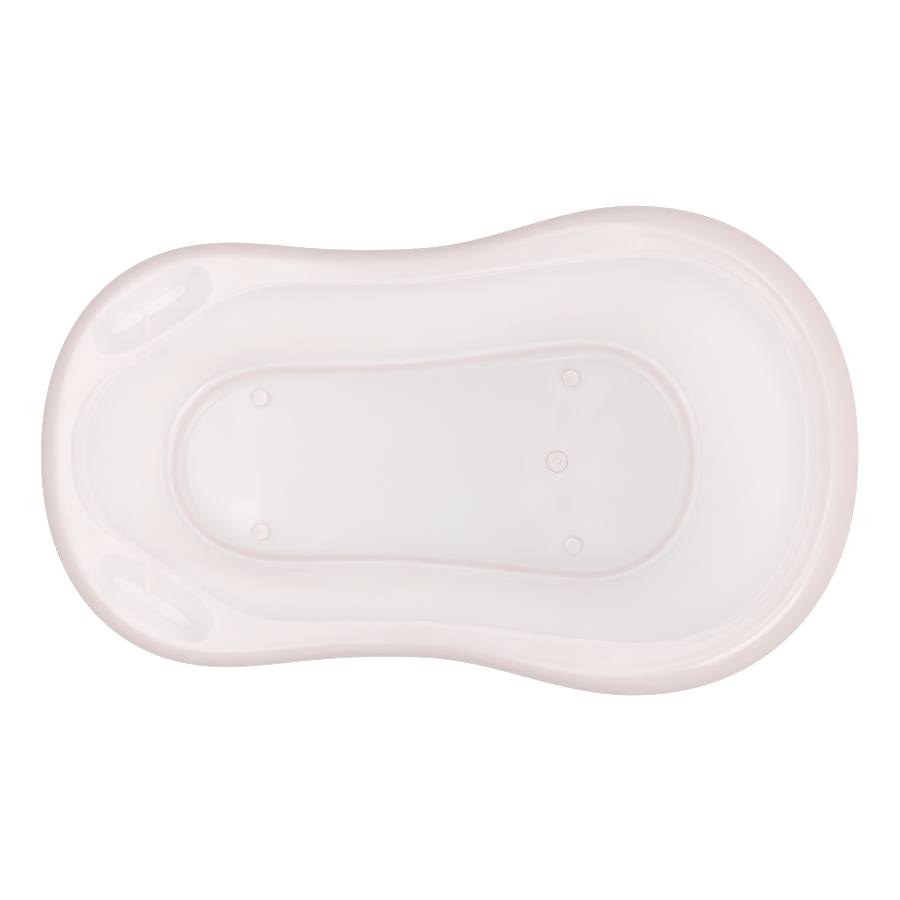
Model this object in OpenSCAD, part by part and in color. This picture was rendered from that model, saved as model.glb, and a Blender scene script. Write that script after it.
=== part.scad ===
// Baby bathtub: one moulded tub with two soap trays in its rim, a drain plug
// and four soft grip pads under it. Millimetres. X runs along the tub with +X at the
// wide head end, Z is up, and the origin is on the ground under the middle
// of the rim's outline.

/* [Tub] */
// Overall length over the rim
tub_length = 820; // [760:5:860]
// Overall width over the rim
tub_width = 492; // [460:2:520]
// Height of the rim at the foot end
foot_end_height = 228; // [226:1:236]
// Height of the rim at the waist
waist_height = 226; // [213:1:228]
// Height of the rim's crest at the head end
head_end_height = 245; // [238:1:255]
// Wall thickness of the moulding
wall = 2.5; // [2.3:0.1:3]

/* [Rim] */
// Depth of the outer lip, from the crest down to its free edge
lip_drop = 27; // [25:1:32]
// Fall from the head end's crest to the mouth edge
head_inner_fall = 11; // [6:1:14]
// Radius of the edge between the rim and the basin
mouth_radius = 5; // [3:0.5:5]

/* [Basin] */
// Depth of the bathing recess below the ledge
recess_depth = 16; // [12:1:20]
// Width of the ledge around the recess
ledge_width = 6; // [5:1:8]
// Reach of the curved cove at the head end, from the recess edge to the flat floor
cove_reach = 23; // [18:1:26]
// Share of curvature in the basin walls, 0 for straight
wall_bow = 0.25; // [0:0.05:0.35]

/* [Soap trays] */
// Depth of a soap tray below the rim
tray_depth = 17; // [12:1:20]
// Radius of a tray's round ends at the rim
tray_radius = 21.5; // [19:0.5:22]
// Draft of a tray's wall, as the inset at its bottom
tray_draft = 3; // [2:0.5:4]

/* [Feet and drain] */
// Height of the floor's underside above the ground
floor_clearance = 6.5; // [6:0.5:8]
// Diameter of a foot pad
pad_diameter = 19; // [16:0.5:20]
// Diameter of the plug's head
plug_head_diameter = 22; // [20:0.5:24]
// Diameter of the plug's stem
plug_stem_diameter = 15; // [12:0.5:15]
// Radial running clearance between the stem and its bore
stem_clearance = 0.06; // [0.03:0.01:0.09]

/* [Hidden] */

pearl = [0.93, 0.90, 0.89];
soft_grey = [0.80, 0.78, 0.78];

floor_top = floor_clearance + wall;
recess_edge_z = floor_top + recess_depth;
lip_roll_height = 20;
tray_rim_z = foot_end_height - 1;
foot_cove_cut = 5;
socket_bottom = 2;
socket_play = 0.1;
pad_mark_height = 1.2;
drain_boss_bottom = 4;
drain_boss_wall = 4;
seat_depth = 1;
seat_z = floor_top - seat_depth;
fused = 0.5;
samples = 2;

// Half outlines, drawn for a tub of 820 by 492. In turn: the tip of the foot
// end, where its rounding ends, the half width there, the swells of the side
// (each from, to, by), where the head end's rounding starts, and its tip.
rim_shape = [-411, -225, 215, [[-225, -100, -10], [-35, 180, 42]], 180, 411];
mouth_shape = [-367, -288, 94, [[-328, -185, 75], [-60, 205, 26]], 192, 360];
recess_shape = [-299, -175, 106, [[-90, 195, 23]], 140, 265];
end_roundness = 2.2;
half_steps = 25;
turn_step = 0.75;

// Soap trays: the middle line, bowed like the rim beside it, and the wedge
// that divides each tray
tray_spine = [[-335, 118.5], [-301, 147], [-255, 166]];
wedge_foot = [-295, 115];
wedge_tip = [-304, 141];
wedge_width = 17;

drain_centre = [116, 0];
pad_centres = [[132, 90], [132, -90], [-202, 72], [-202, -72]];

function clamp(t) = min(max(t, 0), 1);
function total(list) = list * [for (value = list) 1];
function last(list) = list[len(list) - 1];

function ease(x, from, to) =
    let (t = clamp((x - from) / (to - from))) t * t * (3 - 2 * t);

function round_end(t) = pow(1 - pow(clamp(t), end_roundness), 1 / end_roundness);

function half_width(x, shape) =
    let (swells = [for (swell = shape[3]) swell[2] * ease(x, swell[0], swell[1])])
    (shape[2] + total(swells))
    * round_end((shape[1] - x) / (shape[1] - shape[0]))
    * round_end((x - shape[4]) / (shape[5] - shape[4]));

function half_outline(shape) =
    let (middle = (shape[0] + shape[5]) / 2, reach = (shape[5] - shape[0]) / 2)
    [for (turn = [0 : turn_step : 180])
        let (x = middle - reach * cos(turn)) [x, half_width(x, shape)]];

function lengths_along(points) =
    [for (i = 0, s = 0; i < len(points);
          s = s + norm(points[min(i + 1, len(points) - 1)] - points[i]), i = i + 1) s];

function column(keys, points, axis) =
    [for (i = [0 : len(keys) - 1]) [keys[i], points[i][axis]]];

// The same outline at half_steps equal steps along its length
function even_steps(points) =
    let (s = lengths_along(points), xs = column(s, points, 0), ys = column(s, points, 1))
    [for (i = [0 : half_steps])
        let (way = last(s) * i / half_steps) [lookup(way, xs), lookup(way, ys)]];

function spline_point(a, b, c, d, t) =
    ((1 - t)^3 * a + (3 * t^3 - 6 * t^2 + 4) * b
     + (-3 * t^3 + 3 * t^2 + 3 * t + 1) * c + t^3 * d) / 6;

function whole_loop(half) =
    concat(half, [for (i = [len(half) - 2 : -1 : 1]) [half[i].x, -half[i].y]]);

function smooth_loop(shape) =
    let (all = whole_loop(even_steps(half_outline(shape))), k = len(all))
    [for (i = [0 : k - 1], j = [0 : samples - 1])
        spline_point(all[(i + k - 1) % k], all[i], all[(i + 1) % k], all[(i + 2) % k],
                     j / samples)];

function span(points, axis) =
    max([for (p = points) p[axis]]) - min([for (p = points) p[axis]]);

rim_drawn = smooth_loop(rim_shape);
stretch = [tub_length / span(rim_drawn, 0), tub_width / span(rim_drawn, 1)];
drawn_middle = (max([for (p = rim_drawn) p.x]) + min([for (p = rim_drawn) p.x])) / 2;

function place(p) = [(p.x - drawn_middle) * stretch.x, p.y * stretch.y];
function fitted(points) = [for (p = points) place(p)];

rim_line = fitted(rim_drawn);
mouth_line = fitted(smooth_loop(mouth_shape));
recess_line = fitted(smooth_loop(recess_shape));
count = len(rim_line);

function blend(a, b, f) = [for (j = [0 : count - 1]) a[j] + f * (b[j] - a[j])];

// Loops run clockwise seen from above, so the left of the path is outward
function outward(points, j) =
    let (d = points[(j + 1) % count] - points[(j + count - 1) % count])
    [-d.y, d.x] / norm(d);

function offset_line(points, by) =
    [for (j = [0 : count - 1]) points[j] + by * outward(points, j)];

function head_share(x) = ease(x, 40, 290);
function foot_share(x) = ease(-x, 150, 330);
function crest_z(x) =
    waist_height + (head_end_height - waist_height) * head_share(x)
    + (foot_end_height - waist_height) * foot_share(x);
function mouth_z(x) = crest_z(x) - 0.5 - (head_inner_fall - 0.5) * head_share(x);
function roll_width(x) = 17 + 11 * head_share(x) + 2 * foot_share(x);

function ring(points, heights) =
    [for (j = [0 : count - 1]) [points[j].x, points[j].y, heights[j]]];

crest_line = [for (j = [0 : count - 1])
    rim_line[j] - roll_width(rim_line[j].x) * outward(rim_line, j)];
crest_heights = [for (p = rim_line) crest_z(p.x)];
mouth_heights = [for (p = mouth_line) mouth_z(p.x)];
mouth_outer = offset_line(mouth_line, mouth_radius);
mouth_inner = offset_line(mouth_line, -0.4 * mouth_radius);
ledge_line = offset_line(recess_line, ledge_width);

function roll_ring(angle) =
    ring(blend(crest_line, rim_line, cos(angle)),
         [for (z = crest_heights) z - lip_roll_height * (1 - sin(angle))]);

function flange_ring(f) =
    ring(blend(crest_line, mouth_outer, f),
         [for (j = [0 : count - 1])
             crest_heights[j] + f * (mouth_heights[j] - crest_heights[j])]);

wall_foot_z = recess_edge_z + 2;
function wall_fall(s) = (1 - wall_bow) * s + wall_bow * (1 - (1 - s)^2);
function wall_ring(s) =
    ring(blend(mouth_inner, ledge_line, s),
         [for (z = mouth_heights)
             let (top = z - mouth_radius) top - (top - wall_foot_z) * wall_fall(s)]);

function flat_ring(points, z) = [for (p = points) [p.x, p.y, z]];

// How far the flat floor lies inside the recess edge: less at the foot end
reach = [for (p = recess_line) cove_reach - foot_cove_cut * ease(-p.x, 90, 170)];

function inset_line(points, by) =
    [for (j = [0 : count - 1]) points[j] - by[j] * outward(points, j)];

// A quarter ellipse from just under the recess edge down to the flat floor
function cove(angle) =
    flat_ring(inset_line(recess_line, [for (r = reach) 2 + (r - 2) * (1 - cos(angle))]),
              floor_top + (recess_depth - 2.5) * (1 - sin(angle)));

skin = concat(
    [ring(rim_line, [for (z = crest_heights) z - lip_drop])],
    [for (angle = [0, 25, 50, 72, 90]) roll_ring(angle)],
    [for (f = [0.5, 1]) flange_ring(f)],
    [ring(offset_line(mouth_line, 0.3 * mouth_radius),
          [for (z = mouth_heights) z - 0.3 * mouth_radius])],
    [for (s = [0, 0.25, 0.5, 0.75, 0.95]) wall_ring(s)],
    [flat_ring(offset_line(recess_line, ledge_width - 2), recess_edge_z + 0.8)],
    [flat_ring(recess_line, recess_edge_z)],
    [for (angle = [0, 30, 60, 90]) cove(angle)],
    [flat_ring(inset_line(recess_line, [for (r = reach) r + 12]), floor_top)]);
ring_count = len(skin);

function unit(v) = v / norm(v);

function skin_normal(i, j) =
    let (along = skin[i][(j + 1) % count] - skin[i][(j + count - 1) % count],
         inward = skin[min(i + 1, ring_count - 1)][j] - skin[max(i - 1, 0)][j])
    i == 0 ? [outward(rim_line, j).x, outward(rim_line, j).y, 0]
    : i >= ring_count - 2 ? [0, 0, 1]
    : unit(cross(inward, along));

back = [for (i = [0 : ring_count - 1])
    [for (j = [0 : count - 1]) skin[i][j] - wall * skin_normal(i, j)]];

function strip(i, base, flip) =
    [for (j = [0 : count - 1])
        let (a = base + i * count + j,
             b = base + i * count + (j + 1) % count)
        for (tri = [[a, b, b + count], [a, b + count, a + count]])
            flip ? [tri[2], tri[1], tri[0]] : tri];

// The moulding's sheet, closed at the lip's free edge
module sheet() {
    points = concat([for (r = skin) each r], [for (r = back) each r]);
    under = ring_count * count;
    last = under - count;
    front_faces = [for (i = [0 : ring_count - 2]) each strip(i, 0, false)];
    back_faces = [for (i = [0 : ring_count - 2]) each strip(i, under, true)];
    lip_faces = [for (j = [0 : count - 1])
        let (k = (j + 1) % count)
        for (tri = [[k, j, under + j], [k, under + j, under + k]]) tri];
    floor_faces = [[for (j = [0 : count - 1]) last + j],
                   [for (j = [count - 1 : -1 : 0]) under + last + j]];
    polyhedron(points, concat(front_faces, back_faces, lip_faces, floor_faces),
               convexity = 8);
}

// A long dish with round ends, its walls drafted and its bottom edge rounded
module dish(radius, depth, top) {
    bottom_round = 6;
    hull()
        for (c = tray_spine)
            translate([place(c).x, place(c).y, 0]) {
                translate([0, 0, top - 0.01])
                    cylinder(r = radius, h = 0.01, $fn = 32);
                translate([0, 0, top - depth + bottom_round / 2])
                    cylinder(r = radius - tray_draft, h = 0.01, $fn = 32);
                translate([0, 0, top - depth])
                    cylinder(r = radius - tray_draft - bottom_round / 2, h = 0.01, $fn = 32);
            }
}

// The fin that divides a tray: it slopes from the basin side down to a point
module wedge() {
    run = unit(tray_spine[2] - tray_spine[0]);
    buried = 1.2;
    base = tray_rim_z - tray_depth - buried;
    side = [run.y, -run.x];
    heel = place(wedge_foot) + buried * side;
    polyhedron([[heel.x - run.x * wedge_width / 2, heel.y - run.y * wedge_width / 2, base],
                [heel.x + run.x * wedge_width / 2, heel.y + run.y * wedge_width / 2, base],
                [heel.x, heel.y, tray_rim_z - 1],
                [place(wedge_tip).x, place(wedge_tip).y, base]],
               [[0, 1, 2], [0, 2, 3], [1, 3, 2], [0, 3, 1]]);
}

module both_sides() {
    children();
    mirror([0, 1, 0]) children();
}

module grip_sockets() {
    for (c = pad_centres)
        translate([c.x, c.y, 0]) {
            translate([0, 0, socket_bottom])
                cylinder(d = pad_diameter + 2 * wall, h = floor_top - socket_bottom - fused,
                         $fn = 48);
            translate([0, 0, floor_top - fused])
                cylinder(d = pad_diameter - 3, h = fused + pad_mark_height, $fn = 48);
        }
}

module tub_shell() {
    color(pearl)
        difference() {
            union() {
                sheet();
                both_sides()
                    dish(tray_radius + wall, tray_depth + wall - 1, tray_rim_z - 1);
                grip_sockets();
                translate([drain_centre.x, 0, drain_boss_bottom])
                    cylinder(r = plug_head_diameter / 2 + drain_boss_wall,
                             h = floor_top - drain_boss_bottom - fused, $fn = 64);
            }
            both_sides()
                difference() {
                    dish(tray_radius, tray_depth + 2, tray_rim_z + 2);
                    wedge();
                }
            for (c = pad_centres)
                translate([c.x, c.y, socket_bottom - 1])
                    cylinder(d = pad_diameter + socket_play,
                             h = floor_clearance - socket_bottom + 1, $fn = 48);
            translate([drain_centre.x, 0, 0])
                cylinder(d = plug_stem_diameter, h = floor_top, $fn = 64);
            translate([drain_centre.x, 0, seat_z])
                cylinder(d = plug_head_diameter + 1, h = floor_top, $fn = 64);
        }
}

// Soft stopper: a stem in the drain's bore, a head on its seat and a grip nub
module drain_plug() {
    stem = plug_stem_diameter / 2 - stem_clearance;
    head = plug_head_diameter / 2;
    head_thickness = 2.4;
    nub_height = 4.6;
    nub = 3.4;
    head_top = seat_z + head_thickness;
    nub_top = head_top + nub_height;
    color(soft_grey)
        translate([drain_centre.x, 0, 0])
            rotate_extrude($fn = 64)
                polygon([[0, drain_boss_bottom], [stem - 0.6, drain_boss_bottom],
                         [stem, drain_boss_bottom + 0.6], [stem, seat_z],
                         [head - 0.4, seat_z], [head, seat_z + 0.4],
                         [head, head_top - 0.6], [head - 0.6, head_top],
                         [head - 1.8, head_top], [head - 2.4, head_top - 0.8],
                         [nub, head_top - 0.8], [nub - 0.5, head_top],
                         [nub - 0.5, nub_top - 2], [nub, nub_top - 1.2],
                         [nub - 0.3, nub_top - 0.3], [nub - 1, nub_top], [0, nub_top]]);
}

module grip_pad(c) {
    bevel = 0.6;
    color(soft_grey)
        translate([c.x, c.y, 0]) {
            cylinder(d1 = pad_diameter - 2 * bevel, d2 = pad_diameter, h = bevel, $fn = 48);
            translate([0, 0, bevel])
                cylinder(d = pad_diameter, h = floor_clearance - bevel, $fn = 48);
        }
}

tub_shell();
drain_plug();
grip_pad(pad_centres[0]);  // grip_pad_head_left
grip_pad(pad_centres[1]);  // grip_pad_head_right
grip_pad(pad_centres[2]);  // grip_pad_foot_left
grip_pad(pad_centres[3]);  // grip_pad_foot_right
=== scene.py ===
"""Baby bathtub: the moulded tub at full smoothness, its drain plug and its grip pads.

Lengths are in metres. The tub follows the same outlines and the same section
as the CAD node it replaces, with the small roundings that a moulding has.
"""

import math

import bmesh
import bpy
import numpy as np
from mathutils import Matrix, Vector
from mathutils.bvhtree import BVHTree
from mathutils.geometry import delaunay_2d_cdt
from mathutils.kdtree import KDTree


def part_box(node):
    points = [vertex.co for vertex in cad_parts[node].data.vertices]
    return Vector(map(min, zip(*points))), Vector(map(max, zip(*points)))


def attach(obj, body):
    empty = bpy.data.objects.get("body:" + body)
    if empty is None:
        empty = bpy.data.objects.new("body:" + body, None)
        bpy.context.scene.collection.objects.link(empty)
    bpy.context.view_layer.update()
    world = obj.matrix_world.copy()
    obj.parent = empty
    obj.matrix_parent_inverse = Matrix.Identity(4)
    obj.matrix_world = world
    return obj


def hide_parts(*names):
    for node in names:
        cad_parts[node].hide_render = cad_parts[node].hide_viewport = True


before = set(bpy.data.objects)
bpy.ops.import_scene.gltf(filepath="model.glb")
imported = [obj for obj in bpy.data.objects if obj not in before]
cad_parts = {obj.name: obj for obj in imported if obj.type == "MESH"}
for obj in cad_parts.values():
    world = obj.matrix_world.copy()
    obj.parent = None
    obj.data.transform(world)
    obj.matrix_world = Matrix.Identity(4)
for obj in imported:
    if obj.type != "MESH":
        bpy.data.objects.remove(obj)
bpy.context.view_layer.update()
MM = 0.001

# ---------------------------------------------------------------- dimensions
TUB_LOW, TUB_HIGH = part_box("tub_shell")
PAD_LOW, PAD_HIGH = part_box("grip_pad_head_left")
PLUG_LOW, PLUG_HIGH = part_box("drain_plug")

HEAD_END_HEIGHT = TUB_HIGH[2]
FOOT_END_HEIGHT = HEAD_END_HEIGHT - 17 * MM
WAIST_HEIGHT = HEAD_END_HEIGHT - 19 * MM
WALL = 2.5 * MM
LIP_DROP = 27 * MM
LIP_ROLL_HEIGHT = 20 * MM
HEAD_INNER_FALL = 11 * MM
MOUTH_ROUND = 5.5 * MM
FLOOR_UNDERSIDE = PAD_HIGH[2]
FLOOR_TOP = FLOOR_UNDERSIDE + WALL
RECESS_DEPTH = 16 * MM
RECESS_EDGE_Z = FLOOR_TOP + RECESS_DEPTH
LEDGE_WIDTH = 6 * MM
COVE_REACH = 23 * MM
COVE_SLOPE = 10 * MM
WALL_BOW = 0.25
TRAY_DEPTH = 17 * MM
BRIM = 1.7 * MM
BACK_BRIM = 2.4 * MM
TRAY_FILLET = 0.75
TRAY_FLOOR_Z = FOOT_END_HEIGHT - TRAY_DEPTH

# Where the rim rises along X, towards the head end and towards the foot end
HEAD_RISE = (0.040, 0.290)
FOOT_RISE = (0.150, 0.330)
FLANGE_FALL_POWER = 0.75
ROLL_WIDTH = 17 * MM
ROLL_EXTRA_AT_HEAD = 11 * MM
ROLL_EXTRA_AT_FOOT = 2 * MM

# Half outlines in millimetres, drawn for a tub of 820 by 492. In turn: the tip of
# the foot end, where its rounding ends, the half width there, the swells of the
# side (each from, to, by), where the head end's rounding starts, and its tip.
RIM_SHAPE = (-411, -225, 215, [(-225, -100, -10), (-35, 180, 42)], 180, 411)
MOUTH_SHAPE = (-367, -288, 94, [(-328, -185, 75), (-60, 205, 26)], 192, 360)
RECESS_SHAPE = (-299, -175, 106, [(-90, 195, 23)], 140, 265)
END_ROUNDNESS = 2.2
HALF_STEPS = 25
TURN_STEPS = 240

# The soap trays in millimetres: the middle of the edge and of the flat bottom,
# their half lengths and half widths, and how far they turn from the long axis
TRAY_EDGE = ((-296, 144.5), 67, 26)
TRAY_BOTTOM = ((-299.5, 146.5), 49, 11)
TRAY_TURN = math.radians(31.5)
TRAY_ROUNDNESS = 2.7
TRAY_POINTS = 16
WEDGE_FEET = [(-304, 110), (-287, 119.5)]
WEDGE_TIP = (-304, 141)

PER_SPAN = 8
TRAY_PER_SPAN = 12

# The drain and the sockets under the floor
DRAIN_BORE = 7.5 * MM
BOSS_RADIUS = 15 * MM
BOSS_LOW = 4 * MM
SOCKET_BORE = 9.55 * MM
SOCKET_RADIUS = 12 * MM
SOCKET_LOW = 2 * MM
GATE_AT = (-0.087, 0.022)

# How deep the painted shade is, from 0 to 1, and the height above which the rim takes it. It
# darkens the colour of the lip, rim, trays and recess slope in place of shade.
PAINTED_SHADE_FROM_Z = 0.19
FLANGE_PAINTED_SHADE = 0.50
TRAY_PAINTED_SHADE = 0.2
RECESS_PAINTED_SHADE = 0.55


def centre_of(low, high):
    """The middle of a box in plan."""
    return tuple((np.array(low) + np.array(high))[:2] / 2)


PAD_NODES = [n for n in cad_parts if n.startswith("grip_pad")]
PAD_CENTRES = [centre_of(*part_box(n)) for n in PAD_NODES]
DRAIN_CENTRE = centre_of(PLUG_LOW, PLUG_HIGH)


# ------------------------------------------------------------------- outlines
def spline(control, per_span):
    """A closed smooth curve over its control polygon, as an array of points."""
    p = np.asarray(control, float)
    t = np.linspace(0, 1, per_span, endpoint=False)[:, None]
    weights = ((1 - t) ** 3, 3 * t ** 3 - 6 * t ** 2 + 4,
               -3 * t ** 3 + 3 * t ** 2 + 3 * t + 1, t ** 3)
    spans = [sum(w * p[(i + k) % len(p)] for k, w in enumerate(weights)) / 6
             for i in range(-1, len(p) - 1)]
    return np.vstack(spans)


def whole(half):
    """Both sides of an outline that is given from tip to tip."""
    half = np.asarray(half, float)
    return np.vstack([half, half[-2:0:-1] * (1, -1)])


def through(points, per_span):
    """A closed smooth curve that passes through the points."""
    p = np.asarray(points, float)
    n = len(p)
    share = np.eye(n) * 4 + np.roll(np.eye(n), 1, 0) + np.roll(np.eye(n), -1, 0)
    return spline(np.linalg.solve(share / 6, p), per_span)


def ease(x, start, end):
    t = np.clip((x - start) / (end - start), 0, 1)
    return t * t * (3 - 2 * t)


def round_end(t):
    return (1 - np.clip(t, 0, 1) ** END_ROUNDNESS) ** (1 / END_ROUNDNESS)


def half_outline(foot_tip, foot_round, half, swells, head_round, head_tip):
    """One side of an outline as control points at even steps along its length."""
    turn = np.linspace(0, math.pi, TURN_STEPS + 1)
    x = (foot_tip + head_tip) / 2 - (head_tip - foot_tip) / 2 * np.cos(turn)
    width = half + sum(by * ease(x, start, end) for start, end, by in swells)
    y = (width * round_end((foot_round - x) / (foot_round - foot_tip))
         * round_end((x - head_round) / (head_tip - head_round)))
    way = np.append(0, np.cumsum(np.hypot(np.diff(x), np.diff(y))))
    steps = np.linspace(0, way[-1], HALF_STEPS + 1)
    return np.column_stack([np.interp(steps, way, x), np.interp(steps, way, y)])


def outline(shape):
    return spline(whole(half_outline(*shape)), PER_SPAN)


def tray_oval(middle, half_length, half_width):
    """Points round a blunt oval, clockwise seen from above from its foot-end tip."""
    turn = np.linspace(0, 2 * math.pi, TRAY_POINTS, endpoint=False)
    blunt = 2 / TRAY_ROUNDNESS
    along = -half_length * np.sign(np.cos(turn)) * np.abs(np.cos(turn)) ** blunt
    across = half_width * np.sign(np.sin(turn)) * np.abs(np.sin(turn)) ** blunt
    c, s = math.cos(TRAY_TURN), math.sin(TRAY_TURN)
    return np.array(middle) + np.column_stack([c * along - s * across,
                                               s * along + c * across])


rim_drawn = outline(RIM_SHAPE) * MM
drawn_low, drawn_high = rim_drawn.min(0), rim_drawn.max(0)
stretch = (np.array(TUB_HIGH[:2]) - np.array(TUB_LOW[:2])) / (drawn_high - drawn_low)
drawn_middle = np.array([(drawn_low[0] + drawn_high[0]) / 2, 0])


def place(points):
    """Millimetres as drawn, to metres in the frame."""
    return (np.asarray(points, float) * MM - drawn_middle) * stretch


rim = place(outline(RIM_SHAPE))
mouth = place(outline(MOUTH_SHAPE))
recess = place(outline(RECESS_SHAPE))
tray_edge = place(through(tray_oval(*TRAY_EDGE), TRAY_PER_SPAN))
tray_bottom = place(through(tray_oval(*TRAY_BOTTOM), TRAY_PER_SPAN))
COUNT = len(rim)


def outward(line):
    """Unit normals of a closed line that runs clockwise seen from above."""
    d = np.roll(line, -1, 0) - np.roll(line, 1, 0)
    return np.column_stack([-d[:, 1], d[:, 0]]) / np.linalg.norm(d, axis=1)[:, None]


def offset(line, by):
    by = np.broadcast_to(by, len(line))[:, None]
    return line + outward(line) * by


def head_share(x):
    return ease(x, *HEAD_RISE)


def foot_share(x):
    return ease(-x, *FOOT_RISE)


def crest_z(x):
    return (WAIST_HEIGHT + (HEAD_END_HEIGHT - WAIST_HEIGHT) * head_share(x)
            + (FOOT_END_HEIGHT - WAIST_HEIGHT) * foot_share(x))


def flange_z(x, across):
    """Height of the rim's flat top, from across = 0 at the crest to 1 at the mouth."""
    return crest_z(x) - HEAD_INNER_FALL * head_share(x) * np.power(across, FLANGE_FALL_POWER)


# ---------------------------------------------------------- the tub's section
def at(line, z):
    return np.column_stack([line, np.broadcast_to(z, len(line))])


def corner(before, point, after, cut, steps):
    """Rings that round the corner at point, starting and ending cut away from it."""
    cut = np.broadcast_to(cut, len(point))[:, None]

    def toward(other):
        d = other - point
        length = np.linalg.norm(d, axis=1)[:, None]
        return point + d / length * np.minimum(cut, 0.95 * length)

    a, b = toward(before), toward(after)
    return [(1 - t) ** 2 * a + 2 * t * (1 - t) * point + t * t * b
            for t in np.linspace(0, 1, steps + 1)]


def section():
    """Rings of the visible face from the lip's free edge to the flat floor.

    Returns the rings, the indexes that the underside follows, and the first
    and last ring of the stretch that holds the soap trays.
    """
    roll = (ROLL_WIDTH + ROLL_EXTRA_AT_HEAD * head_share(rim[:, 0])
            + ROLL_EXTRA_AT_FOOT * foot_share(rim[:, 0]))
    crest = rim - outward(rim) * roll[:, None]
    crest_height = crest_z(crest[:, 0])

    def roll_ring(angle):
        a = math.radians(angle)
        return at(crest + (rim - crest) * math.cos(a),
                  crest_height - LIP_ROLL_HEIGHT * (1 - math.sin(a)))

    def flange_ring(across):
        line = crest + (mouth - crest) * np.asarray(across)[..., None]
        return at(line, flange_z(line[:, 0], across))

    rings = [at(rim, crest_height - LIP_DROP), at(rim, crest_height - LIP_DROP + 3 * MM)]
    rings += [roll_ring(a) for a in range(0, 81, 8)]
    under = list(range(0, len(rings), 2))
    tray_start = 2 + 5
    flange_width = np.linalg.norm(mouth - crest, axis=1)

    # A low step runs round the mouth at both ends and fades along the waist
    x = mouth[:, 0]
    by_tray = ease(-x, 0.200, 0.235) * ease(x, -0.340, -0.300)
    mouth_round = MOUTH_ROUND - 2.9 * MM * by_tray
    step_gap = mouth_round + 2.3 * MM + 4 * MM * ease(-x, 0.325, 0.368)
    step_drop = 1.0 * MM * ease(-x, 0.270, 0.345) + 0.8 * MM * ease(x, 0.10, 0.26)
    step_out = 1 - step_gap / flange_width
    step_in = 1 - (step_gap - 1.2 * MM) / flange_width
    top = flange_ring(step_out)
    bottom = flange_ring(step_in) - np.column_stack([0 * x, 0 * x, step_drop])
    lip = flange_ring(np.ones(COUNT)) - np.column_stack([0 * x, 0 * x, step_drop])

    crest_ring = roll_ring(90)
    ridge_cut = 2.5 * MM + 1.5 * MM * head_share(rim[:, 0])
    first = len(rings)
    rings += corner(rings[-1], crest_ring, top, ridge_cut, 4)
    under += [first, first + 2, first + 4]
    start = ridge_cut / flange_width
    spread = (0.2, 0.4, 0.6, 0.8)
    under += [len(rings) + 1, len(rings) + 3]
    rings += [flange_ring(start + (step_out - start) * f) for f in spread]
    rings += corner(rings[-1], top, bottom, 0.5 * MM, 2)
    rings += corner(top, bottom, lip, 0.5 * MM, 2)
    tray_end = len(rings) - 1

    ledge = at(offset(recess, LEDGE_WIDTH), RECESS_EDGE_Z + 1.2 * MM)

    def wall_ring(s):
        fall = (1 - WALL_BOW) * s + WALL_BOW * (1 - (1 - s) ** 2)
        ring = lip + (ledge - lip) * s
        ring[:, 2] = lip[:, 2] - (lip[:, 2] - ledge[:, 2]) * fall
        return ring

    first = len(rings)
    rings += corner(bottom, lip, wall_ring(0.05), mouth_round, 6)
    under += [first + k for k in (0, 2, 4, 6)]
    steps = [s / 26 for s in range(1, 26)]
    under += [len(rings) + k for k in range(2, 25, 3)]
    rings += [wall_ring(s) for s in steps]

    edge = at(recess, RECESS_EDGE_Z)
    full_reach = COVE_REACH - 5 * MM * ease(-recess[:, 0], 0.090, 0.170)

    foot = at(offset(recess, -COVE_SLOPE), FLOOR_TOP)
    flat = at(offset(recess, -full_reach), FLOOR_TOP)

    first = len(rings)
    rings += corner(rings[-1], ledge, edge, 3.2 * MM, 4)
    under += [first, first + 2, first + 4]
    first = len(rings)
    rings += corner(ledge, edge, foot, 2.4 * MM, 5)
    under += [first, first + 5]
    start = rings[-1]
    fillet = corner(edge, foot, flat, 7 * MM, 9)
    under += [len(rings) + 1]
    rings += [start + (fillet[0] - start) * f for f in (0.25, 0.5, 0.75)]
    first = len(rings)
    rings += fillet
    under += [first + k for k in (0, 3, 6, 9)]
    rings += [flat, at(offset(recess, -full_reach - 1.5 * MM), FLOOR_TOP)]
    return np.array(rings), under, tray_start, tray_end


def face_normals(rings):
    """Normals of the visible face at each ring point."""
    along = np.roll(rings, -1, 1) - np.roll(rings, 1, 1)
    inward = np.gradient(rings, axis=0)
    normal = np.cross(inward, along)
    normal /= np.maximum(np.linalg.norm(normal, axis=2), 1e-12)[..., None]
    return normal


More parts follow.
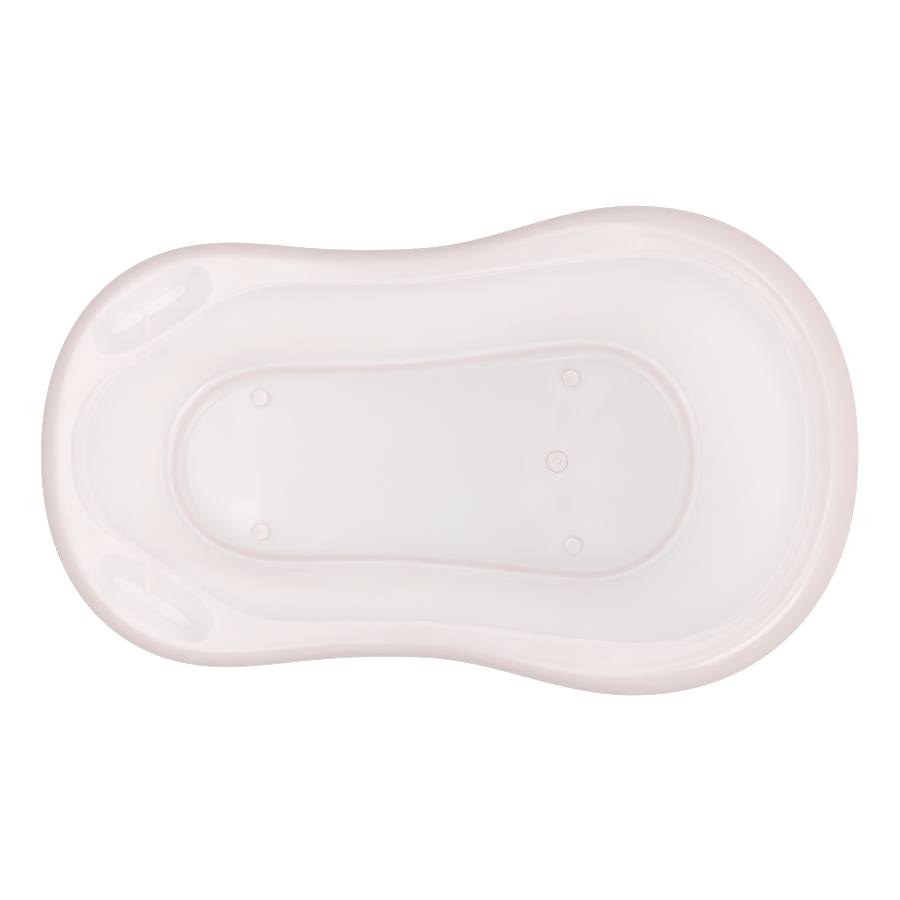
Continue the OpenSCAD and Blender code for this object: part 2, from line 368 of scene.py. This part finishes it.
# ------------------------------------------------------------------ mesh tools
class Skin:
    """Vertices and faces, with loops joined by strips and flat areas filled."""

    def __init__(self):
        self.points = []
        self.faces = []

    def add(self, points):
        start = len(self.points)
        self.points.extend(map(tuple, points))
        return list(range(start, len(self.points)))

    def bridge(self, a, b, skip=None):
        n = len(a)
        for j in range(n):
            if skip is None or not skip(j):
                k = (j + 1) % n
                self.faces.append((a[j], a[k], b[k], b[j]))

    def fan(self, loop, tip):
        for j, a in enumerate(loop):
            self.faces.append((a, loop[(j + 1) % len(loop)], tip))

    def fill(self, outline, holes=(), loose=()):
        """Triangles between an outline and its holes, through the loose points."""
        loops = [list(outline)] + [list(h) for h in holes]
        order = [i for loop in loops for i in loop] + list(loose)
        flat = [Vector(self.points[i][:2]) for i in order]
        edges, start = [], 0
        for loop in loops:
            n = len(loop)
            edges += [(start + j, start + (j + 1) % n) for j in range(n)]
            start += n
        result = delaunay_2d_cdt(flat, edges, [], 0, 1e-7)
        points, faces, source = result[0], result[2], result[3]
        sides = [np.array([self.points[i][:2] for i in loop]) for loop in loops]
        for face in faces:
            middle = sum((points[i] for i in face), Vector((0, 0))) / len(face)
            if inside(middle, sides[0]) and not any(inside(middle, s) for s in sides[1:]):
                self.faces.append(tuple(order[source[i][0]] for i in face))

    def make(self, name, **shares):
        """The skin as an object; each share is an attribute with a value per point."""
        mesh = bpy.data.meshes.new(name)
        mesh.from_pydata(self.points, [], self.faces)
        for share, values in shares.items():
            data = mesh.attributes.new(share, "FLOAT", "POINT").data
            data.foreach_set("value", np.asarray(values, np.float32))
        work = bmesh.new()
        work.from_mesh(mesh)
        loose = [v for v in work.verts if not v.link_faces]
        bmesh.ops.delete(work, geom=loose, context="VERTS")
        bmesh.ops.recalc_face_normals(work, faces=work.faces)
        for face in work.faces:
            face.smooth = True
        work.to_mesh(mesh)
        work.free()
        obj = bpy.data.objects.new(name, mesh)
        bpy.context.scene.collection.objects.link(obj)
        return obj


def inside(point, polygon):
    """True if the point lies in the polygon, by crossings of a ray."""
    x, y = point[0], point[1]
    a, b = polygon, np.roll(polygon, -1, 0)
    cross = (a[:, 1] > y) != (b[:, 1] > y)
    rise = np.where(cross, b[:, 1] - a[:, 1], 1)
    at_x = a[:, 0] + (y - a[:, 1]) / rise * (b[:, 0] - a[:, 0])
    return bool(np.count_nonzero(cross & (x < at_x)) % 2)


def circle(centre, radius, z, count):
    a = np.linspace(0, 2 * math.pi, count, endpoint=False)
    return np.column_stack([centre[0] + radius * np.cos(a), centre[1] - radius * np.sin(a),
                            np.full(count, z)])


def lathe(skin, centre, profile, count):
    """A closed turned body. The profile runs from axis to axis as (radius, z)."""
    loops = [skin.add(circle(centre, r, z, count)) for r, z in profile if r > 0]
    for a, b in zip(loops, loops[1:]):
        skin.bridge(a, b)
    tips = [z for r, z in profile if r == 0]
    for loop, z in ((loops[0], tips[0]), (loops[-1], tips[-1])):
        skin.fan(loop, skin.add([(centre[0], centre[1], z)])[0])


# ------------------------------------------------------------------- the tub
# Profiles of the floor's round features, as (radius, height) in millimetres
PAD_MARK = [(9.2, 0), (8.8, 0.05), (8.5, 0.2), (8.25, 0.45), (7.9, 0.62), (7.4, 0.68),
            (6.8, 0.64), (6.3, 0.5), (5.7, 0.42), (3.0, 0.42)]
DRAIN_SEAT = [(16.2, 0), (15.2, 0), (12.6, 0), (11.9, -0.06), (11.5, -0.22), (11.25, -0.55),
              (11.2, -0.85), (10.9, -1.0), (8.2, -1.0), (7.7, -1.06), (7.5, -1.3)]
GATE_MARK = [(5.5, 0), (4.4, 0), (4.0, -0.06), (3.6, -0.22), (3.2, -0.3), (1.6, -0.3)]


def floor_mark(skin, centre, profile, count=48):
    """A small round feature of the floor. Returns the loop that the floor meets."""
    loops = [skin.add(circle(centre, r * MM, FLOOR_TOP + z * MM, count)) for r, z in profile]
    for a, b in zip(loops, loops[1:]):
        skin.bridge(a, b)
    tip = skin.add([(centre[0], centre[1], FLOOR_TOP + profile[-1][1] * MM)])[0]
    skin.fan(loops[-1], tip)
    return loops[0]


def ray_height(tree, points):
    """The surface's height at each plan point."""
    heights = []
    for x, y in points:
        hit = tree.ray_cast(Vector((x, y, 1)), Vector((0, 0, -1)))
        heights.append(hit[0].z)
    return np.array(heights)


def tray_window(rings, edge, first, last):
    """Columns of the ring grid that a tray's edge covers, with room on each side."""
    grid = rings[first:last + 1, :, :2]
    columns = []
    for p in edge:
        d = np.linalg.norm(grid - p, axis=2)
        columns.append(int(np.unravel_index(np.argmin(d), d.shape)[1]))
    return min(columns) - 4, max(columns) + 4


def skin_with_openings(skin, rings, edges, first, last, clearance):
    """Adds the ring grid, leaving a hole for each edge curve in the stretch between
    two rings. Returns the grid's indexes and the index loop of each hole."""
    index = [skin.add(r) for r in rings]
    cells = []
    for i in range(first, last):
        for j in range(COUNT):
            k = (j + 1) % COUNT
            cells.append((index[i][j], index[i][k], index[i + 1][k], index[i + 1][j]))
    tree = BVHTree.FromPolygons([Vector(p) for p in skin.points], cells)
    windows = [tray_window(rings, e, first, last) for e in edges]

    def open_at(j):
        return any(a <= j < b for a, b in windows)

    for i in range(len(rings) - 1):
        skin.bridge(index[i], index[i + 1], open_at if first <= i < last else None)
    holes = []
    for edge, (a, b) in zip(edges, windows):
        hole = skin.add(at(edge, ray_height(tree, edge)))
        holes.append(hole)
        outline = index[first][a:b + 1]
        outline += [index[i][b] for i in range(first + 1, last)]
        outline += index[last][a:b + 1][::-1]
        outline += [index[i][a] for i in range(last - 1, first, -1)]
        loose = []
        for i in range(first + 1, last):
            for j in range(a + 1, b):
                p = rings[i][j][:2]
                far = np.min(np.linalg.norm(edge - p, axis=1)) > clearance
                if far and not inside(p, edge):
                    loose.append(index[i][j])
        skin.fill(outline, [hole], loose)
    return index, holes


def wedge_top(points, side):
    """Height of the fin's faces over plan points, as if it went on below the tray."""
    foot_a, foot_b = place(WEDGE_FEET) * (1, side)
    tip = place([WEDGE_TIP])[0] * (1, side)
    middle = (foot_a + foot_b) / 2
    length = np.linalg.norm(tip - middle)
    ahead = (tip - middle) / length
    across = (foot_b - foot_a) / np.linalg.norm(foot_b - foot_a)
    half_width = np.linalg.norm(foot_b - foot_a) / 2
    top = FOOT_END_HEIGHT - 2.2 * MM
    along = (points - middle) @ ahead / length
    share = np.clip(along, 0, 1.4)
    centre_line = middle + np.clip(along, 0, 1)[:, None] * (tip - middle)
    lean = (points - centre_line) @ across
    spare = np.abs(lean) - half_width * (1 - np.clip(along, 0, 1)) - 0.3 * MM
    ridge = top - (top - TRAY_FLOOR_Z) * share ** 0.95
    return ridge - 2.6 * np.maximum(spare, 0)


def smooth_max(a, b, blend):
    h = np.maximum(blend - np.abs(a - b), 0) / blend
    return np.maximum(a, b) + h * h * blend / 4


def with_wedge(ring, side):
    ring = np.array(ring)
    ring[:, 2] = smooth_max(ring[:, 2], wedge_top(ring[:, :2], side), 2.6 * MM)
    return ring


def tray_pocket(skin, edge, bottom, heights, hole):
    """The visible inside of a soap tray, from its hole in the rim down."""
    side = 1 if edge[0][1] > 0 else -1
    floor = at(bottom, TRAY_FLOOR_Z)
    brim = at(edge, heights)
    outside = at(offset_from(edge, bottom, -BRIM), heights)
    inner = at(offset_from(bottom, edge, -7 * MM), TRAY_FLOOR_Z)
    rings = corner(outside, brim, floor, BRIM, 4)[1:]
    reach = np.linalg.norm(edge - bottom, axis=1)
    sloped = corner(brim, floor, inner, TRAY_FILLET * reach, 9)
    rings += [rings[-1] + (sloped[0] - rings[-1]) * s for s in (0.2, 0.4, 0.6, 0.8)]
    rings += sloped
    rings = [with_wedge(r, side) for r in rings]
    loops = [hole] + [skin.add(r) for r in rings]
    for a, b in zip(loops, loops[1:]):
        skin.bridge(a, b)
    last = rings[-1][:, :2]
    grid = 1.3 * MM
    xs = np.arange(last[:, 0].min(), last[:, 0].max(), grid)
    ys = np.arange(last[:, 1].min(), last[:, 1].max(), grid)
    free = [(x, y) for x in xs for y in ys
            if inside((x, y), last) and np.min(np.linalg.norm(last - (x, y), axis=1)) > grid / 2]
    middle = with_wedge(at(np.array(free), TRAY_FLOOR_Z), side)
    skin.fill(loops[-1], (), skin.add(middle))


def tray_underside(skin, edge, bottom, hole, heights):
    """The outside of the same tray, under the rim."""
    floor_z = TRAY_FLOOR_Z - WALL
    brim = at(offset_from(edge, bottom, -BACK_BRIM), heights)
    shoulder = at(offset_from(edge, bottom, -1.3 * MM), heights)
    floor = at(offset_from(bottom, edge, 1.3 * MM), floor_z)
    inner = at(offset_from(bottom, edge, -7 * MM), floor_z)
    rings = corner(brim, shoulder, floor, 1.0 * MM, 3)[1:]
    rings += corner(shoulder, floor, inner, 6 * MM, 4)
    rings.append(inner)
    loops = [hole] + [skin.add(r) for r in rings]
    for a, b in zip(loops, loops[1:]):
        skin.bridge(a, b)
    skin.fill(loops[-1])


def offset_from(line, other, by):
    """The line moved by a distance towards its partner curve; away if negative."""
    d = other - line
    return line + d / np.linalg.norm(d, axis=1)[:, None] * by


def socket(skin, centre, bore, outer, low, closed, count=64):
    """A short tube that hangs under the floor, with its edges eased.

    Returns the loop where the floor's underside meets it, and the top of its bore.
    """
    e = 0.4 * MM
    top = FLOOR_UNDERSIDE
    profile = [(outer + e, top), (outer, top - e), (outer, low + e), (outer - e, low),
               (bore + e, low), (bore, low + e), (bore, top)]
    loops = [skin.add(circle(centre, r, z, count)) for r, z in profile]
    for a, b in zip(loops, loops[1:]):
        skin.bridge(a, b)
    if closed:
        skin.fan(loops[-1], skin.add([(centre[0], centre[1], top)])[0])
    return loops[0], loops[-1]


def lip_depth(points):
    """How deep the painted shade is at each point, 0 for not at all.

    It is deepest along the crest of the rolled lip, and fainter in the trays
    and on the slope round the floor recess: darkening painted into the colour
    in place of shade.
    """
    p = np.array(points)
    tree = KDTree(COUNT)
    for k, (x, y) in enumerate(rim):
        tree.insert((x, y, 0), k)
    tree.balance()
    depth = np.zeros(len(p))
    for k, (x, y, z) in enumerate(p):
        if z <= PAINTED_SHADE_FROM_Z or inside((x, y), mouth):
            continue
        # Painted shade in the hollows of the soap trays
        if inside((x, abs(y)), tray_edge):
            depth[k] = TRAY_PAINTED_SHADE
            continue
        from_rim = tree.find((x, y, 0))[2]
        width = 0.026 + 0.012 * float(head_share(x))
        low_face = float(ease(crest_z(x) - z, 0.006, 0.022))
        depth[k] = (1 - 0.35 * low_face) * (
            FLANGE_PAINTED_SHADE + (1 - FLANGE_PAINTED_SHADE) * float(1 - ease(from_rim, 0.2 * width, width)))
    # Painted shade on the slope round the floor recess, darkest halfway down
    slope_middle = (FLOOR_TOP + RECESS_EDGE_Z) / 2
    slope = 1 - np.abs(p[:, 2] - slope_middle) / (RECESS_DEPTH / 2)
    to_recess = np.min(np.linalg.norm(p[:, None, :2] - recess[None, ::8], axis=2), axis=1)
    slope[to_recess > COVE_REACH] = 0
    return np.maximum(depth, RECESS_PAINTED_SHADE * np.clip(slope * 1.6, 0, 1))


def backed_share(points):
    """1 where a pad or the drain's boss backs the floor, so no light comes through."""
    xy = np.array(points)[:, :2]
    spots = [(c, PAD_MARK[1][0], PAD_MARK[0][0]) for c in PAD_CENTRES]
    spots.append((DRAIN_CENTRE, DRAIN_SEAT[1][0], DRAIN_SEAT[0][0]))
    return np.max([1 - ease(np.linalg.norm(xy - centre, axis=1), inner * MM, outer * MM)
                   for centre, inner, outer in spots], axis=0)


def mirrored(line):
    """The same curve on the other side, still clockwise seen from above."""
    return (line * (1, -1))[::-1]


def build_tub():
    """The whole moulding as one closed skin."""
    rings, under, tray_first, tray_last = section()
    skin = Skin()
    sides = [(tray_edge, tray_bottom), (mirrored(tray_edge), mirrored(tray_bottom))]

    brims = [offset_from(e, b, -BRIM) for e, b in sides]
    index, holes = skin_with_openings(skin, rings, brims, tray_first, tray_last, 1.2 * MM)
    for (e, b), hole in zip(sides, holes):
        heights = np.array([skin.points[i][2] for i in hole])
        tray_pocket(skin, e, b, heights, hole)

    marks = [floor_mark(skin, c, PAD_MARK) for c in PAD_CENTRES]
    marks.append(floor_mark(skin, GATE_AT, GATE_MARK, 32))
    loops = [skin.add(circle(DRAIN_CENTRE, r * MM, FLOOR_TOP + z * MM, 64))
             for r, z in DRAIN_SEAT]
    for a, b in zip(loops, loops[1:]):
        skin.bridge(a, b)
    skin.fill(index[-1], marks + [loops[0]])

    # The underside follows the visible face at one wall's thickness
    normals = face_normals(rings)
    normals[0] = at(outward(rim), 0)
    normals[1] = normals[0]
    normals[-4:] = (0, 0, 1)
    back = (rings - WALL * normals)[under]
    back[-1, :, 2] = FLOOR_UNDERSIDE
    back_first = next(k for k, i in enumerate(under) if i >= tray_first)
    back_last = next(k for k, i in enumerate(under) if i > tray_last)
    brims = [offset_from(e, b, -BACK_BRIM) for e, b in sides]
    back_index, holes = skin_with_openings(skin, back, brims, back_first, back_last, 1.5 * MM)
    for (e, b), hole in zip(sides, holes):
        heights = np.array([skin.points[i][2] for i in hole])
        tray_underside(skin, e, b, hole, heights)
    skin.bridge(index[0], back_index[0])
    boss, bore_end = socket(skin, DRAIN_CENTRE, DRAIN_BORE, BOSS_RADIUS, BOSS_LOW, False)
    skin.bridge(loops[-1], bore_end)
    feet = [socket(skin, c, SOCKET_BORE, SOCKET_RADIUS, SOCKET_LOW, True)[0]
            for c in PAD_CENTRES]
    skin.fill(back_index[-1], [boss] + feet)

    backed = backed_share(skin.points)
    # The first attribute darkens the tub's colour by place: painted shade on the lip, rim, trays
    # and recess slope
    return skin.make("tub_moulding", lip_depth=lip_depth(skin.points), backed=backed)


tub = build_tub()
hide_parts("tub_shell")
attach(tub, "tub")


# ------------------------------------------------------------------ materials
class Shader:
    """A material's node tree, made with short calls."""

    def __init__(self, name):
        self.material = bpy.data.materials.new(name)
        self.material.use_nodes = True
        self.nodes = self.material.node_tree.nodes
        self.links = self.material.node_tree.links
        self.bsdf = self.nodes["Principled BSDF"]
        self.coordinates = self.add("ShaderNodeTexCoord").outputs["Object"]

    def add(self, kind, **settings):
        node = self.nodes.new(kind)
        for key, value in settings.items():
            if key in node.inputs:
                node.inputs[key].default_value = value
            else:
                setattr(node, key, value)
        return node

    def join(self, output, node, socket):
        self.links.new(output, node.inputs[socket])
        return node

    def noise(self, scale, detail=3.0, rough=0.5, stretch_by=None, turn=(0, 0, 0)):
        source = self.coordinates
        if stretch_by is not None:
            mapping = self.join(source, self.add("ShaderNodeMapping"), "Vector")
            mapping.inputs["Scale"].default_value = stretch_by
            mapping.inputs["Rotation"].default_value = turn
            source = mapping.outputs["Vector"]
        node = self.join(source, self.add("ShaderNodeTexNoise"), "Vector")
        node.inputs["Scale"].default_value = scale
        node.inputs["Detail"].default_value = detail
        node.inputs["Roughness"].default_value = rough
        return node.outputs["Fac"]

    def spread(self, value, low, high, to_low, to_high):
        node = self.join(value, self.add("ShaderNodeMapRange", clamp=True), "Value")
        for name, number in (("From Min", low), ("From Max", high),
                             ("To Min", to_low), ("To Max", to_high)):
            node.inputs[name].default_value = number
        return node.outputs["Result"]

    def math(self, kind, a, b):
        node = self.add("ShaderNodeMath", operation=kind)
        for k, value in enumerate((a, b)):
            if isinstance(value, (int, float)):
                node.inputs[k].default_value = value
            else:
                self.links.new(value, node.inputs[k])
        return node.outputs["Value"]

    def tint(self, value, stops):
        ramp = self.join(value, self.add("ShaderNodeValToRGB"), "Fac")
        bar = ramp.color_ramp
        while len(bar.elements) < len(stops):
            bar.elements.new(1)
        for element, (place_at, colour) in zip(bar.elements, stops):
            element.position = place_at
            element.color = (*colour, 1)
        return ramp.outputs["Color"]

    def over(self, factor, a, b):
        node = self.add("ShaderNodeMix", data_type="RGBA")
        for value, socket in ((factor, node.inputs[0]), (a, node.inputs[6]), (b, node.inputs[7])):
            if isinstance(value, tuple):
                socket.default_value = (*value, 1)
            else:
                self.links.new(value, socket)
        return node.outputs[2]

    def bump(self, height, distance, strength=1.0, after=None):
        node = self.join(height, self.add("ShaderNodeBump"), "Height")
        node.inputs["Strength"].default_value = strength
        node.inputs["Distance"].default_value = distance
        if after is not None:
            self.links.new(after, node.inputs["Normal"])
        return node.outputs["Normal"]


PEARL_DEEP = (0.938, 0.872, 0.864)
PEARL_LIGHT = (0.954, 0.892, 0.884)
PEARL_WARM = (0.950, 0.876, 0.862)
PEARL_SPECK = (0.915, 0.842, 0.834)
# Painted shade: the darker colour, and how strongly it is mixed in on the lip, rim, trays and
# recess slope
PEARL_PAINTED_SHADE = (0.650, 0.530, 0.524)
PAINTED_SHADE_STRENGTH = 0.70
THROUGH_LIGHT = 0.008
THROUGH_LIGHT_BACKED = 0.0012


def pearl_plastic():
    """Glossy moulded polypropylene, off-white with a little pink, with painted shade darkening its
    lip, rim, trays and recess slope.
    """
    m = Shader("pearl_polypropylene")
    cloud = m.noise(7, 4, 0.55)
    base = m.tint(cloud, [(0.30, PEARL_DEEP), (0.70, PEARL_LIGHT)])
    flow = m.noise(3, 3, 0.6, stretch_by=(1, 6, 2))
    base = m.over(m.spread(flow, 0.45, 0.75, 0.0, 0.35), base, PEARL_WARM)
    speck = m.noise(900, 2, 0.6)
    base = m.over(m.spread(speck, 0.70, 0.80, 0.0, 0.12), base, PEARL_SPECK)
    # Painted shade: the colour darkens by the attribute's value on the lip, rim, trays and recess
    # slope
    painted_shade_amount = m.add("ShaderNodeAttribute", attribute_name="lip_depth").outputs["Fac"]
    base = m.over(m.math("MULTIPLY", painted_shade_amount, PAINTED_SHADE_STRENGTH), base, PEARL_PAINTED_SHADE)
    m.links.new(base, m.bsdf.inputs["Base Color"])
    scuff = m.noise(60, 5, 0.7, stretch_by=(1, 9, 1), turn=(0, 0, 0.6))
    handled = m.noise(11, 4, 0.6)
    rough = m.math("ADD", m.spread(scuff, 0.52, 0.72, 0.0, 0.05),
                   m.spread(handled, 0.35, 0.70, 0.09, 0.14))
    m.links.new(rough, m.bsdf.inputs["Roughness"])
    peel = m.noise(330, 2, 0.5)
    sink = m.noise(16, 2, 0.5)
    normal = m.bump(sink, 0.0003, 0.4)
    normal = m.bump(peel, 0.00002, 0.5, normal)
    m.links.new(normal, m.bsdf.inputs["Normal"])
    m.bsdf.inputs["IOR"].default_value = 1.49
    m.bsdf.inputs["Subsurface Weight"].default_value = 1.0
    m.bsdf.inputs["Subsurface Radius"].default_value = (1.0, 0.9, 0.88)
    backed = m.add("ShaderNodeAttribute", attribute_name="backed").outputs["Fac"]
    m.links.new(m.spread(backed, 0, 1, THROUGH_LIGHT, THROUGH_LIGHT_BACKED),
                m.bsdf.inputs["Subsurface Scale"])
    return m.material


def soft_rubber(name, dark, light, rough):
    """Moulded rubber: matt, with a fine even grain and pale rubbed spots."""
    m = Shader(name)
    cloud = m.noise(140, 3, 0.6)
    base = m.tint(cloud, [(0.35, dark), (0.68, light)])
    dust = m.noise(1500, 3, 0.7)
    base = m.over(m.spread(dust, 0.62, 0.78, 0.0, 0.3), base,
                  tuple(min(1.0, c * 1.06) for c in light))
    m.links.new(base, m.bsdf.inputs["Base Color"])
    worn = m.noise(420, 4, 0.6)
    m.links.new(m.spread(worn, 0.3, 0.7, rough - 0.07, rough + 0.07),
                m.bsdf.inputs["Roughness"])
    grain = m.noise(2600, 2, 0.6)
    dent = m.noise(190, 2, 0.5)
    normal = m.bump(dent, 0.00012, 0.5)
    normal = m.bump(grain, 0.00004, 0.8, normal)
    m.links.new(normal, m.bsdf.inputs["Normal"])
    m.bsdf.inputs["IOR"].default_value = 1.5
    m.bsdf.inputs["Sheen Weight"].default_value = 0.08
    m.bsdf.inputs["Sheen Roughness"].default_value = 0.5
    return m.material


tub.data.materials.append(pearl_plastic())


# --------------------------------------------------------------- drain plug
def turned_piece(name, centre, profile, count):
    skin = Skin()
    lathe(skin, centre, profile, count)
    return skin.make(name)


def build_plug():
    """A stopper: a stem with a sealing groove, a rimmed head and a pull nub."""
    radius = (PLUG_HIGH[0] - PLUG_LOW[0]) / 2
    low, high = PLUG_LOW[2], PLUG_HIGH[2]
    seat = FLOOR_TOP - 1.0 * MM
    head = FLOOR_TOP + 1.4 * MM
    stem = 7.44 * MM
    profile = [
        (0, low + 0.9 * MM), (stem - 2.8 * MM, low + 0.9 * MM), (stem - 2.2 * MM, low + 0.6 * MM),
        (stem - 1.5 * MM, low), (stem - 0.9 * MM, low), (stem - 0.25 * MM, low + 0.5 * MM),
        (stem, low + 1.2 * MM), (stem, low + 1.8 * MM), (stem - 0.25 * MM, low + 2.1 * MM),
        (stem - 0.25 * MM, low + 2.5 * MM), (stem, low + 2.8 * MM), (stem, seat - 0.1 * MM),
        (stem + 0.3 * MM, seat), (radius - 0.5 * MM, seat), (radius - 0.1 * MM, seat + 0.3 * MM),
        (radius, seat + 0.8 * MM), (radius, head - 0.7 * MM), (radius - 0.15 * MM, head - 0.3 * MM),
        (radius - 0.6 * MM, head), (radius - 1.3 * MM, head - 0.02 * MM),
        (radius - 1.9 * MM, head - 0.3 * MM), (radius - 2.4 * MM, head - 0.75 * MM),
        (radius - 3.2 * MM, head - 0.85 * MM), (5.2 * MM, head - 0.8 * MM),
        (4.2 * MM, head - 0.65 * MM), (3.5 * MM, head - 0.2 * MM), (3.05 * MM, head + 0.6 * MM),
        (2.75 * MM, head + 1.6 * MM), (2.7 * MM, head + 2.4 * MM), (2.95 * MM, head + 3.1 * MM),
        (3.3 * MM, head + 3.5 * MM), (3.35 * MM, head + 3.9 * MM), (3.1 * MM, high - 0.35 * MM),
        (2.5 * MM, high - 0.08 * MM), (1.6 * MM, high), (0.9 * MM, high - 0.12 * MM),
        (0, high - 0.16 * MM)]
    return turned_piece("drain_plug_rubber", DRAIN_CENTRE, profile, 72)


plug = build_plug()
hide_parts("drain_plug")
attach(plug, "plug")
plug.data.materials.append(
    soft_rubber("plug_rubber", (0.885, 0.858, 0.852), (0.915, 0.890, 0.885), 0.38))


# ------------------------------------------------------------------ grip pads
def build_pad(node):
    """A round pad with rings under it for grip."""
    low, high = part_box(node)
    radius = (high[0] - low[0]) / 2
    profile = [(0, high[2]), (radius - 0.6 * MM, high[2]), (radius, high[2] - 0.6 * MM),
               (radius, low[2] + 1.5 * MM), (radius - 0.15 * MM, low[2] + 1.1 * MM),
               (radius - 0.5 * MM, low[2] + 0.6 * MM)]
    ribs = 4
    outer = radius - 0.8 * MM
    pitch = outer / (ribs + 0.5)
    for k in range(ribs):
        r = outer - k * pitch
        profile += [(r, low[2] + 0.12 * MM), (r - 0.2 * MM, low[2]),
                    (r - pitch * 0.50, low[2]), (r - pitch * 0.62, low[2] + 0.15 * MM),
                    (r - pitch * 0.70, low[2] + 0.65 * MM),
                    (r - pitch * 0.92, low[2] + 0.65 * MM)]
    profile += [(0.5 * MM, low[2] + 0.1 * MM), (0, low[2] + 0.1 * MM)]
    return turned_piece(node + "_rubber", centre_of(low, high), profile, 56)


pad_rubber = soft_rubber("pad_rubber", (0.90, 0.872, 0.866), (0.94, 0.915, 0.910), 0.6)
for name in sorted(PAD_NODES):
    pad = build_pad(name)
    pad.data.materials.append(pad_rubber)
    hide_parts(name)
    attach(pad, "tub")


# ------------------------------------------------------------ floor and light
FLOOR_REACH = 6.0
FLOOR_GAP = 0.0002
LAMP_DISTANCE = 2.5
ROOM_MIDDLE = (0, 0, 0.12)


def studio_floor():
    skin = Skin()
    corners = [(-1, -1), (-1, 1), (1, 1), (1, -1)]
    loop = skin.add([(x * FLOOR_REACH, y * FLOOR_REACH, -FLOOR_GAP) for x, y in corners])
    skin.faces.append(tuple(loop))
    floor = skin.make("studio_floor")
    m = Shader("studio_floor")
    m.links.new(m.tint(m.noise(3, 3, 0.5), [(0.3, (0.88, 0.88, 0.88)), (0.7, (0.90, 0.90, 0.90))]),
                m.bsdf.inputs["Base Color"])
    m.bsdf.inputs["Roughness"].default_value = 0.9
    m.bsdf.inputs["Emission Color"].default_value = (1, 1, 1, 1)
    m.bsdf.inputs["Emission Strength"].default_value = 0.45
    floor.data.materials.append(m.material)
    floor.visible_diffuse = False
    floor.visible_glossy = False


def softbox(name, place_at, aim, size, power, seen_in_gloss=True):
    """A large rectangular lamp."""
    data = bpy.data.lights.new(name, "AREA")
    data.shape = "RECTANGLE"
    data.size, data.size_y = size
    data.energy = power
    lamp = bpy.data.objects.new(name, data)
    away = Vector(place_at) - Vector(aim)
    lamp.location = place_at
    lamp.rotation_mode = "QUATERNION"
    lamp.rotation_quaternion = away.to_track_quat("Z", "Y")
    lamp.visible_camera = False
    lamp.visible_glossy = seen_in_gloss
    bpy.context.scene.collection.objects.link(lamp)


def round_the_tub(azimuth, elevation):
    """A place at the lamps' distance, by its direction in degrees."""
    a, e = math.radians(azimuth), math.radians(elevation)
    return (LAMP_DISTANCE * math.cos(a) * math.cos(e), LAMP_DISTANCE * math.sin(a) * math.cos(e),
            ROOM_MIDDLE[2] + LAMP_DISTANCE * math.sin(e))


def studio_lights():
    # Name, azimuth and elevation in degrees, and power in watts
    fills = [("fill_head", 0, 25, 14), ("fill_side", 90, 25, 5), ("fill_corner", 135, 45, 2),
             ("fill_foot", 180, 45, 1.5), ("fill_foot_corner", 225, 25, 5)]
    for name, azimuth, elevation, power in fills:
        softbox(name, round_the_tub(azimuth, elevation), ROOM_MIDDLE, (1, 1), power, False)
    keys = [("key_corner", 135, 68, 4), ("key_foot", 225, 68, 5), ("key_opposite", 315, 68, 9)]
    for name, azimuth, elevation, power in keys:
        softbox(name, round_the_tub(azimuth, elevation), ROOM_MIDDLE, (1, 1), power)
    softbox("overhead", (-0.95, 0.1, 3.25), (-0.95, 0.1, 0), (1.4, 1.5), 6)


def studio_world(bands):
    """A plain sky whose brightness depends on the height above the horizon.

    bands: (sine of the elevation, brightness), from straight down to straight up.
    """
    world = bpy.data.worlds.new("studio")
    world.use_nodes = True
    nodes, links = world.node_tree.nodes, world.node_tree.links
    parts = nodes.new("ShaderNodeSeparateXYZ")
    links.new(nodes.new("ShaderNodeTexCoord").outputs["Generated"], parts.inputs[0])
    height = nodes.new("ShaderNodeMapRange")
    height.inputs["From Min"].default_value = -1
    height.inputs["From Max"].default_value = 1
    links.new(parts.outputs["Z"], height.inputs["Value"])
    ramp = nodes.new("ShaderNodeValToRGB")
    links.new(height.outputs["Result"], ramp.inputs["Fac"])
    while len(ramp.color_ramp.elements) < len(bands):
        ramp.color_ramp.elements.new(1)
    for element, (sine, level) in zip(ramp.color_ramp.elements, bands):
        element.position = (sine + 1) / 2
        element.color = (level, level, level, 1)
    links.new(ramp.outputs["Color"], nodes["Background"].inputs["Color"])
    bpy.context.scene.world = world


studio_floor()
studio_world([(-1, 0.60), (0, 0.68), (0.30, 0.68), (0.70, 0.66), (0.85, 0.38), (1, 0.36)])
studio_lights()


# -------------------------------------------------------------------- camera
CAMERA_TILT = math.radians(3.37)
CAMERA_ROLL = math.radians(-0.555)
CAMERA_AIM = Vector((0.00145, 0.0009, 0.225))
CAMERA_DISTANCE = 3.0


def photo_camera():
    """Nearly straight above the tub, at the photograph's viewing angle."""
    tilt, roll = CAMERA_TILT, CAMERA_ROLL
    forward = Vector((0, math.sin(tilt), -math.cos(tilt)))
    up = Vector((0, math.cos(tilt), math.sin(tilt)))
    right = Vector((1, 0, 0))
    turned_right = right * math.cos(roll) + up * math.sin(roll)
    turned_up = up * math.cos(roll) - right * math.sin(roll)
    data = bpy.data.cameras.new("camera")
    data.lens = 120
    data.sensor_width = 36
    camera = bpy.data.objects.new("camera", data)
    axes = Matrix((turned_right, turned_up, -forward)).transposed()
    camera.matrix_world = Matrix.Translation(CAMERA_AIM - forward * CAMERA_DISTANCE) @ axes.to_4x4()
    bpy.context.scene.collection.objects.link(camera)
    bpy.context.scene.camera = camera


photo_camera()
bpy.context.scene.view_settings.view_transform = "Standard"
